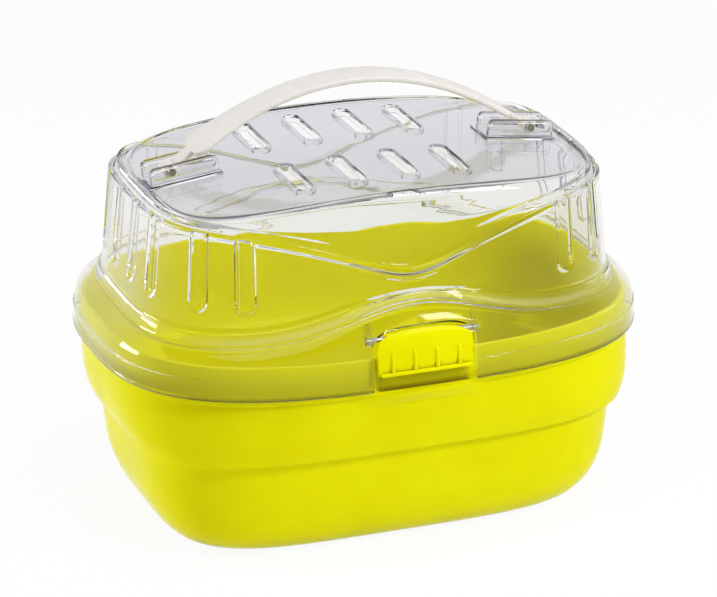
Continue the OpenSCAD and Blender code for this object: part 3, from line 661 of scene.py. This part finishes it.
def ventStack(form, centreX, centreY, grow, stages):
    length, width = vents["length"] + 2 * grow, vents["width"] + 2 * grow
    verts, face = stadium(form, (centreX, centreY, 0), length, width)
    run = (vents["length"] - vents["width"]) / 2

    def settle(verts, lift, extra):
        for vert in verts:
            x, y = vert.co.x / mm, vert.co.y / mm
            spine = Vector((centreX, min(centreY + run, max(centreY - run, y))))
            outward = (Vector((x, y)) - spine).normalized() * extra
            vert.co = Vector((x + outward.x, y + outward.y, roofZ(x) + lift)) * mm

    settle(verts, *stages[0])
    past = stages[0][1]
    for lift, extra in stages[1:]:
        verts, face = pushFace(form, face, (0, 0, 1))
        settle(verts, lift, extra - past)
        past = extra


def ventForms(grow, stages):
    form = bmesh.new()
    for column in range(vents["columns"]):
        for row in (-1, 1):
            ventStack(form, (column - (vents["columns"] - 1) / 2) * vents["pitch"],
                      handleOffset + row * vents["rowGap"] / 2, grow, stages)
    return form


rails = {"middle": 95.5, "length": 38, "thickness": 3, "height": 9.4, "gap": 12, "round": 3, "edge": 0.35,
         "sink": 2, "slope": 7.137, "grooveZ": 5, "grooveHeight": 4.6, "grooveRun": 30.6, "grooveDepth": 2,
         "plinthPast": (2, 1), "plinthSide": 3, "plinthHeights": (-1.6, 0.36), "plinthEdge": 0.25}


def onRails(form, side):  # turns what is at the origin onto the roof's slope
    place = Matrix.Translation(Vector((side * rails["middle"], handleOffset, roofZ(rails["middle"]))) * mm)
    bmesh.ops.transform(form, verts=form.verts, matrix=place @ Matrix.Rotation(
        math.radians(side * rails["slope"]), 4, "Y"))
    return form


def railBars(side):
    form = bmesh.new()
    half, inner = rails["length"] / 2, rails["gap"] / 2
    for hand in (-1, 1):
        near, far = sorted((hand * inner, hand * (inner + rails["thickness"])))
        verts = bmesh.ops.create_cube(form, size=1)["verts"]
        for vert in verts:
            vert.co = Vector((vert.co.x * 2 * half, near if vert.co.y < 0 else far,
                              -rails["sink"] if vert.co.z < 0 else rails["height"])) * mm
        topEnds = [e for e in edgesOf(verts)
                   if all(v.co.z > 0 for v in e.verts) and abs(e.verts[0].co.x - e.verts[1].co.x) < 1e-6]
        roundEdges(form, topEnds, rails["round"], 6)
    creases = [e for e in form.edges if e.calc_face_angle(0) > 1 and any(v.co.z > 0 for v in e.verts)]
    roundEdges(form, creases, rails["edge"])
    return onRails(form, side)


def grooveCutter(side):
    form = bmesh.new()
    for hand in (-1, 1):
        wall = hand * (rails["gap"] / 2 + rails["grooveDepth"])
        verts, face = stadium(form, (0, 0, 0), rails["grooveRun"] + rails["grooveHeight"],
                              rails["grooveHeight"], "X")
        for vert in verts:
            vert.co = Vector((vert.co.x, wall * mm, vert.co.y + rails["grooveZ"] * mm))
        pushFace(form, face, (0, -hand * (rails["grooveDepth"] + 1), 0))
    return onRails(form, side)


def plinth(side):
    half, reach = rails["length"] / 2, rails["gap"] / 2 + rails["thickness"] + rails["plinthSide"]
    (left, right), (low, high) = rails["plinthPast"], rails["plinthHeights"]
    form = block(bmesh.new(), (-half - left, -reach, low), (half + right, reach, high), rails["plinthEdge"])
    return onRails(form, side)


# the opening's arch leaves a gap round the latch tab
opening = {"half": 29, "sideZ": 120.6, "rise": 12, "bottom": 98, "segments": 72, "start": 14, "depth": 30}
archPower = 0.7  # squares the arch


def archPoint(angle, half, sideZ, rise):
    c, s = math.cos(angle), math.sin(angle)
    return half * math.copysign(abs(c) ** archPower, c), sideZ + rise * s ** archPower


def latchOpening():
    form = bmesh.new()
    verts = bmesh.ops.create_circle(form, cap_ends=True, segments=opening["segments"], radius=1)["verts"]
    for vert in verts:
        angle = math.atan2(vert.co.y, vert.co.x)
        x, z = archPoint(abs(angle), opening["half"], opening["sideZ"], opening["rise"])
        vert.co = Vector((x, front + opening["start"], z if angle >= 0 else opening["bottom"])) * mm
    pushFace(form, verts[0].link_faces[0], (0, -opening["depth"], 0))
    return form


hinge = {"spacing": 50, "y": 113, "z": 96.3, "knuckle": 7.4, "pin": 3.2, "middle": 12, "side": 6, "gap": 0.4,
         "armSlack": 0.2, "edge": 0.3, "boreLength": 40, "boreSlack": 0.08,
         "coverArm": [(0, -3.4), (3.6, 0), (3.6, 1.2), (-3.1, 12), (-6.1, 12), (-6.1, 3.9), (-3.7, 1)]}
latch = {"y": -100.3, "z": 126, "pin": 2.6, "lugX": 28, "lugWidth": 2.9, "lug": 5.6, "lugTop": (9.7, 4.2),
         "lugEdge": 0.15, "boreX": 29.5, "boreLength": 5}


def coverFittings():  # the hinge arms and the lugs that hold the latch pin
    form = bmesh.new()
    for side in (-1, 1):
        sidePlate(form, [(hinge["y"] + y, hinge["z"] + z) for y, z in hinge["coverArm"]],
                  side * hinge["spacing"], hinge["middle"] - hinge["armSlack"], hinge["edge"])
        radius, steps = latch["lug"] / 2, 18
        lug = [(radius * math.cos(a), radius * math.sin(a))
               for a in (math.pi * (1 + i / steps) for i in range(steps + 1))]
        lug += [(radius, latch["lugTop"][0]), (-radius, latch["lugTop"][1])]
        sidePlate(form, [(latch["y"] + y, latch["z"] + z) for y, z in lug],
                  side * (latch["lugX"] + latch["lugWidth"] / 2), latch["lugWidth"], latch["lugEdge"])
    return form


def knuckles(offsets, width):
    form = bmesh.new()
    for side in (-1, 1):
        for offset in offsets:
            rod(form, (side * (hinge["spacing"] + offset), hinge["y"], hinge["z"]), hinge["knuckle"] / 2,
                width, bevel=hinge["edge"])
    return form


def pinBores(radius, latchToo):
    form = bmesh.new()
    for side in (-1, 1):
        rod(form, (side * hinge["spacing"], hinge["y"], hinge["z"]), radius, hinge["boreLength"])
        if latchToo:
            rod(form, (side * latch["boreX"], latch["y"], latch["z"]), latch["pin"] / 2, latch["boreLength"])
    return form


shell = newObject("cover", coverSkin())
print("cover skin lofted")
combine(shell, "UNION", ventForms(vents["collar"], vents["collarStages"]))
combine(shell, "UNION", merged([plinth(-1), plinth(1)]))
combine(shell, "DIFFERENCE", ventForms(0, vents["slotStages"]))
combine(shell, "DIFFERENCE", latchOpening())
bars = newObject("bars", merged([railBars(-1), railBars(1)]))
combine(bars, "DIFFERENCE", merged([grooveCutter(-1), grooveCutter(1)]))
barForm = bmesh.new()
barForm.from_mesh(bars.data)
bpy.data.objects.remove(bars)
combine(shell, "UNION", barForm)
combine(shell, "UNION", coverFittings())
combine(shell, "UNION", knuckles([0], hinge["middle"]))
combine(shell, "DIFFERENCE", pinBores(hinge["pin"] / 2 + hinge["boreSlack"], True))
finishPiece(shell, "clearCoverShell", clearPlastic)

# tub
tub = {"columns": 240, "rimPower": 2.9, "rimInset": 5.4, "wall": 2.2, "floor": 2.8, "footInset": 15.8,
       "draft": 0.12, "bendTop": 34, "bendRun": 20, "stepZ": 60, "bulge": 7.8, "bulgeRise": 34.4,
       "bulgeFrom": 26, "bendSteps": 14, "floorShares": (0, 0.3, 0.6, 0.85),
       "catch": ((-21, -105.4, 110.8), (21, -102.8, 112.6)), "catchEdge": 0.4,
       "armFoot": 14.06, "armTop": 2.5, "armRun": 3, "armSink": 0.73}
# profile keys: inset, height, reach of the round
tubStep = [(16.3, 55.8, 2), (15.8, 59.3, 2.2), (10.75, 60.6, 0.6), (10.45, 61.8, 1)]
tubRim = [
    (5.4, 96.3, 0.9), (2.6, 97.4, 0.3), (2.2, 97.7, 0.25), (2.2, 99.2, 0.25),
    (2.5, 99.4, 0.2), (5.4, 99.4, 0.5), (5.4, 116.5, 0.4), (5.8, 117, 0.3),
    (7.2, 117, 0.3), (7.6, 116.5, 0.4)]
innerStep = [(17.8, 58.8, 1)]


def lowerWall(offset, base):  # from the floor round the bend and up to the step
    keys = []
    for i in range(tub["bendSteps"] + 1):
        a = math.pi / 2 * i / tub["bendSteps"]
        z = base + (tub["bendTop"] - base) * (1 - math.cos(a))
        inset = tub["footInset"] + tub["draft"] * (tub["stepZ"] - z) + tub["bendRun"] * (1 - math.sin(a))
        keys.append((inset + offset, z, 9))
    return keys


def upperWall(offset, first):  # bulges out from the step to the rim, from an angle in degrees
    keys = []
    for i in range(tub["bendSteps"] + 1):
        a = math.radians(mix(first, 90, i / tub["bendSteps"]))
        inset = tub["rimInset"] + tub["bulge"] * (1 - math.sin(a))
        keys.append((inset + offset, tub["stepZ"] + tub["bulgeRise"] * (1 - math.cos(a)), 9))
    return keys


def tubRows():  # inset, height and share of the plan
    outside = lowerWall(0, 0) + tubStep + upperWall(0, tub["bulgeFrom"]) + tubRim
    inside = upperWall(tub["wall"], 0)[::-1] + innerStep + lowerWall(tub["wall"], tub["floor"])[::-1]
    skin = filleted(outside + inside, lambda key: (-key[0], key[1]))
    rows = [skin[0] + (share,) for share in tub["floorShares"]] + [row + (1,) for row in skin]
    return rows + [skin[-1] + (share,) for share in reversed(tub["floorShares"])]


def tubSkin():
    columns = planColumns(tub["rimInset"], tub["rimPower"], tub["columns"])
    rows = tubRows()

    def place(columnIndex, rowIndex):
        inset, z, share = rows[rowIndex]
        x, y = meetPlan(columns[columnIndex], inset, keyed(case["tubPowers"], z))
        return x * share, y * share, z

    return shapedGrid(len(columns), len(rows), place)


def tubWallY(x):  # the front wall's face at the rim
    halfX, halfY = case["length"] / 2 - tub["rimInset"], case["width"] / 2 - tub["rimInset"]
    return -halfY * (1 - (abs(x) / halfX) ** tub["rimPower"]) ** (1 / tub["rimPower"])


# a lens that stands out under the latch, with a rim and a bulge below it
lip = {"half": 38, "front": -109.5, "depth": 5.6, "sink": 1.2, "blunt": 4, "middleZ": 96, "steps": 24}
# section keys: share of the depth, height, reach of the round
lipSection = [
    (-0.3, 99.1, 0), (0.15, 99.4, 0.2), (0.45, 99.3, 0.6), (1, 97.4, 0.45), (0.97, 96.6, 0.5),
    (0.8, 95.2, 0.8), (0.56, 93.4, 2), (0.3, 91.6, 2), (0.1, 90, 1.5), (-0.1, 89, 1), (-0.3, 88.9, 0)]


def latchLip():
    section = filleted(lipSection, lambda key: (key[0] * lip["depth"], key[1]))
    half, steps = lip["half"], lip["steps"]
    stations = [half * math.sin(math.pi / 2 * i / steps) for i in range(-steps, steps + 1)]

    def place(columnIndex, rowIndex):
        x = stations[rowIndex]
        blunt = math.sqrt(max(0, 1 - max(0, (abs(x) - half + lip["blunt"]) / lip["blunt"]) ** 2))
        depth = (tubWallY(0) - lip["front"]) * (1 - (x / half) ** 2)
        share, z = section[columnIndex]
        reach = share * depth if share > 0 else share * lip["depth"]
        height = mix(lip["middleZ"], z, mix(0.5, 1, blunt) if blunt else 0)
        return x, tubWallY(x) - mix(-lip["sink"], reach, blunt), height

    return shapedGrid(len(section), len(stations), place)


sideKnuckle = (hinge["middle"] + hinge["side"]) / 2 + hinge["gap"]


def tubArms():
    form = bmesh.new()
    radius, top = hinge["knuckle"] / 2, tub["armTop"]
    for side in (-1, 1):
        for offset in (-sideKnuckle, sideKnuckle):
            x = hinge["spacing"] + offset
            reach = hinge["y"] + tubWallY(x + hinge["side"] / 2) + tub["armSink"]
            arm = [(0, radius), (0, -radius), (-reach, -tub["armFoot"]), (-reach, top), (-tub["armRun"], top)]
            sidePlate(form, [(hinge["y"] + y, hinge["z"] + z) for y, z in arm], side * x,
                      hinge["side"] - hinge["armSlack"], hinge["edge"])
    return form


tubShell = newObject("tub", tubSkin())
print("tub skin lofted")
combine(tubShell, "UNION", latchLip())
combine(tubShell, "UNION", block(bmesh.new(), *tub["catch"], tub["catchEdge"]))
combine(tubShell, "UNION", tubArms())
combine(tubShell, "UNION", knuckles([-sideKnuckle, sideKnuckle], hinge["side"]))
combine(tubShell, "DIFFERENCE", pinBores(hinge["pin"] / 2, False))
finishPiece(tubShell, "yellowTubShell", yellowPlastic)

# latch tab; its face runs through pairs of height and distance behind the cover's front
tab = {"half": 27, "bottom": 108.6, "sideZ": 120.6, "top": 130.6, "thickness": 2, "edge": 0.7,
       "face": [(108.6, 0.4), (113.6, 0.7), (120.6, 1.8), (126.6, 3.2), (129.4, 4.4), (130.6, 5.4)],
       "grid": (30, 14), "ribs": 4, "ribPitch": 12.4, "ribRadius": 1.4, "ribBack": 0.3, "ribFoot": 111.2,
       "ribLength": 8.4, "ribLean": (1.6, 7),
       "shelf": ((-25.5, front - 1.8, 108.6), (25.5, front + 1, 110.2)), "shelfEdge": 0.5,
       "nib": ((-20, front + 1, 108.6), (20, -105.7, 110.3)), "nibEdge": 0.3,
       "webLow": (3.6, -2.5), "webHigh": (4.8, 1.9), "webWidth": 38.6,  # behind the front, over the pin
       "barrel": 2.5, "barrelLength": 39.2, "barrelEdge": 0.3, "bore": 1.38, "boreLength": 44}


def tabPlate():
    form = bmesh.new()
    columns, rows = tab["grid"]
    bmesh.ops.create_grid(form, x_segments=columns, y_segments=rows, size=1)
    for vert in form.verts:
        x = tab["half"] * math.sin(math.pi / 2 * vert.co.x)
        angle = math.acos(min(1, (abs(x) / tab["half"]) ** (1 / archPower)))
        top = archPoint(angle, tab["half"], tab["sideZ"], tab["top"] - tab["sideZ"])[1]
        z = mix(tab["bottom"], top, (vert.co.y + 1) / 2)
        vert.co = Vector((x, front + keyed(tab["face"], z), z)) * mm
    grown = bmesh.ops.extrude_face_region(form, geom=form.faces[:], use_keep_orig=True)["geom"]
    moveVerts([item for item in grown if isinstance(item, bmesh.types.BMVert)], (0, tab["thickness"], 0))
    bmesh.ops.recalc_face_normals(form, faces=form.faces)
    roundEdges(form, [e for e in form.edges if e.calc_face_angle(0) > 1], tab["edge"], 3)
    return form


def fingerRibs():
    form = bmesh.new()
    lean = math.atan2(*tab["ribLean"])
    for i in range(tab["ribs"]):
        verts = bmesh.ops.create_uvsphere(form, u_segments=20, v_segments=12,
                                          radius=tab["ribRadius"] * mm)["verts"]
        for vert in verts:
            if vert.co.z > 0:
                vert.co += Vector((0, math.sin(lean), math.cos(lean))) * tab["ribLength"] * mm
        x = (i - (tab["ribs"] - 1) / 2) * tab["ribPitch"]
        moveVerts(verts, (x, front + tab["ribBack"], tab["ribFoot"]))
    return form


def tabWeb():  # joins the plate to the barrel that turns on the pin
    (lowBack, low), (highBack, high) = tab["webLow"], tab["webHigh"]
    points = [(latch["y"], low), (latch["y"], high), (front + highBack, high), (front + lowBack, low)]
    return sidePlate(bmesh.new(), [(y, latch["z"] + z) for y, z in points], 0, tab["webWidth"])


latchAxis = (0, latch["y"], latch["z"])
tabPiece = newObject("tab", tabPlate())
shelf = block(bmesh.new(), *tab["shelf"], tab["shelfEdge"], 3)
nib = block(bmesh.new(), *tab["nib"], tab["nibEdge"])
barrel = rod(bmesh.new(), latchAxis, tab["barrel"], tab["barrelLength"], bevel=tab["barrelEdge"])
for form in (shelf, nib, fingerRibs(), tabWeb(), barrel):
    combine(tabPiece, "UNION", form)
combine(tabPiece, "DIFFERENCE", rod(bmesh.new(), latchAxis, tab["bore"], tab["boreLength"]))
finishPiece(tabPiece, "yellowLatchTab", yellowPlastic)

# strap: an arch with straight ends, whose band widens towards the rails, where a neck runs on to each eye
strap = {"width": 20, "thickness": 3, "edge": 0.9, "middleZ": 234.5, "bend": 0.0038249, "bendEnd": 88,
         "slope": 0.67319, "wide": 90, "rows": 30, "flareFrom": 45, "flare": 3.2,
         "corner": 5, "cornerTurns": (15, 30, 45, 58, 70, 80, 87), "neck": 8.88,
         "neckRows": [(0.1, 0.35), (0.5, 0), (2, 0), (6, 0), (10.5, 0)],  # past the band, extra half width
         "pin": (102.57, 195.07), "eye": 7.6, "eyeWidth": 9, "eyeEdge": 0.4, "eyeSegments": 48,
         "bore": 2.08, "boreLength": 14}


def strapZ(x):
    curved = min(x, strap["bendEnd"])
    return strap["middleZ"] - strap["bend"] * curved * curved - strap["slope"] * (x - curved)


def bandHalf(x):
    widening = max(0, (x - strap["flareFrom"]) / (strap["wide"] - strap["flareFrom"]))
    return strap["width"] / 2 + strap["flare"] * widening ** 2


def strapPlan():  # pairs of distance from the middle and half width
    wide, corner, rows = strap["wide"], strap["corner"], strap["rows"]
    plan = [(x, bandHalf(x)) for x in (i / rows * (wide - corner) for i in range(rows + 1))]
    cornerY = bandHalf(wide - corner) - corner
    plan += [(wide - corner + corner * math.sin(a), cornerY + corner * math.cos(a))
             for a in map(math.radians, strap["cornerTurns"])]
    plan += [(wide + past, strap["neck"] / 2 + extra) for past, extra in strap["neckRows"]]
    return plan + [(plan[-1][0], 0)]


def strapSection(halfWidth):  # a rectangle with round corners and a middle line on both faces
    edge, half = strap["edge"], strap["thickness"] / 2
    arc = [math.pi / 8 * i for i in range(5)]
    loop = []
    for sy, sz, turn in [(1, 1, arc), (-1, 1, arc[::-1]), (-1, -1, arc), (1, -1, arc[::-1])]:
        loop += [(sy * (halfWidth - edge + edge * math.cos(a)), sz * (half - edge + edge * math.sin(a)))
                 for a in turn]
    return loop[:5] + [(0, half)] + loop[5:15] + [(0, -half)] + loop[15:]


def strapHalf(side):
    plan = strapPlan()

    def place(columnIndex, rowIndex):
        along, halfWidth = plan[rowIndex]
        slope = math.atan(min(strap["slope"], 2 * strap["bend"] * along))
        y, lift = strapSection(halfWidth)[columnIndex] if halfWidth else (0, 0)
        return (side * (along + lift * math.sin(slope)), handleOffset + y,
                strapZ(along) + lift * math.cos(slope))

    form = shapedGrid(len(strapSection(1)), len(plan), place)
    bmesh.ops.holes_fill(form, edges=[e for e in form.edges if e.is_boundary])
    piece = newObject("half", form)
    eye = (side * strap["pin"][0], handleOffset, strap["pin"][1])
    combine(piece, "UNION", rod(bmesh.new(), eye, strap["eye"] / 2, strap["eyeWidth"], "Y",
                                strap["eyeSegments"], strap["eyeEdge"]))
    combine(piece, "DIFFERENCE", rod(bmesh.new(), eye, strap["bore"], strap["boreLength"], "Y"))
    return piece


strapLeft = finishPiece(strapHalf(-1), "strapLeftHalf", strapPlastic)
strapRight = finishPiece(strapHalf(1), "strapRightHalf", strapPlastic)

# bodies
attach(shell, "cover")
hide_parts("clear_cover")
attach(tubShell, "tub")
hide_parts("base_tub")
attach(tabPiece, "latch")
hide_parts("front_latch")
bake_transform(strapLeft)
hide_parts("handle_strap", "handle_end_left")
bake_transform(strapRight)
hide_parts("handle_strap", "handle_end_right")
for pin in ("latch_pin", "hinge_pin_left", "hinge_pin_right", "cross_pin_left", "cross_pin_right"):
    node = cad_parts[pin]
    node.data.materials.clear()
    node.data.materials.append(pinSteel)
print("pieces joined to their bodies")

# studio, in metres; a softbox is its name, place, target, size and power
studio = {
    "softboxes": [
        ("overhead", (0, -0.25, 1.25), (0, 0, 0.1), (0.8, 0.6), 5.9),
        ("key", (0.62, -0.98, 0.98), (0, 0, 0.1), (0.36, 0.26), 9.8),
        ("left", (-1.2, 0.7, 0.24), (0, 0, 0.06), (0.5, 0.3), 9),
        ("right", (1.3, -0.2, 0.3), (0, 0, 0.06), (0.4, 0.3), 0.6)],
    "ambient": 0.32, "sky": {"From Min": 0.5, "From Max": 0.85, "To Min": 1, "To Max": 0.25},
    "floorSize": 4, "floorDrop": 0.0002}

for name, place, target, size, power in studio["softboxes"]:
    lamp = bpy.data.lights.new(name, "AREA")
    lamp.shape, lamp.size, lamp.size_y = "RECTANGLE", size[0], size[1]
    lamp.energy = power
    softbox = bpy.data.objects.new(name, lamp)
    scene.collection.objects.link(softbox)
    softbox.location = place
    softbox.rotation_euler = (Vector(target) - Vector(place)).to_track_quat("-Z", "Y").to_euler()
    softbox.visible_transmission = False


def seenDirectly(tree):  # camera, glossy and transmission rays
    path = addNode(tree, "LightPath").outputs
    first = addNode(tree, "Math", {0: path["Is Camera Ray"], 1: path["Is Glossy Ray"]}, operation="MAXIMUM")
    return addNode(tree, "Math", {0: first, 1: path["Is Transmission Ray"]}, operation="MAXIMUM")


def paperSweep():
    # Matt white paper without a seam, shown as a plain light ground that keeps the shadow.
    look = {"colour": "#f8f8f8", "ground": "#ffffff", "groundShare": 0.93}
    material, tree = newMaterial("paperSweep")
    matt = addNode(tree, "BsdfDiffuse", {"Color": linear(look["colour"])})
    glow = addNode(tree, "Emission", {"Color": linear(look["ground"]), "Strength": 1})
    share = addNode(tree, "Math", {0: seenDirectly(tree), 1: look["groundShare"]}, operation="MULTIPLY")
    addNode(tree, "OutputMaterial", {"Surface": addNode(tree, "MixShader", {0: share, 1: matt, 2: glow})})
    return material


world = bpy.data.worlds.new("studio")
world.use_nodes = True
tree = world.node_tree
tree.nodes.clear()
white = linear("#ffffff")
ambient = addNode(tree, "Background", {"Color": white, "Strength": studio["ambient"]})
upward = addNode(tree, "SeparateXYZ", {"Vector": addNode(tree, "TexCoord").outputs["Generated"]}).outputs["Z"]
sky = addNode(tree, "MapRange", {"Value": upward, **studio["sky"]})
backdrop = addNode(tree, "Background", {"Color": white, "Strength": sky})
surround = addNode(tree, "MixShader", {0: seenDirectly(tree), 1: ambient, 2: backdrop})
addNode(tree, "OutputWorld", {"Surface": surround})
scene.world = world

floorForm = bmesh.new()
bmesh.ops.create_grid(floorForm, x_segments=1, y_segments=1, size=studio["floorSize"])
floor = newObject("floor", floorForm)
floor.data.materials.append(paperSweep())
floor.location.z = -studio["floorDrop"]
scene.view_settings.view_transform = "Standard"
print("studio lit")
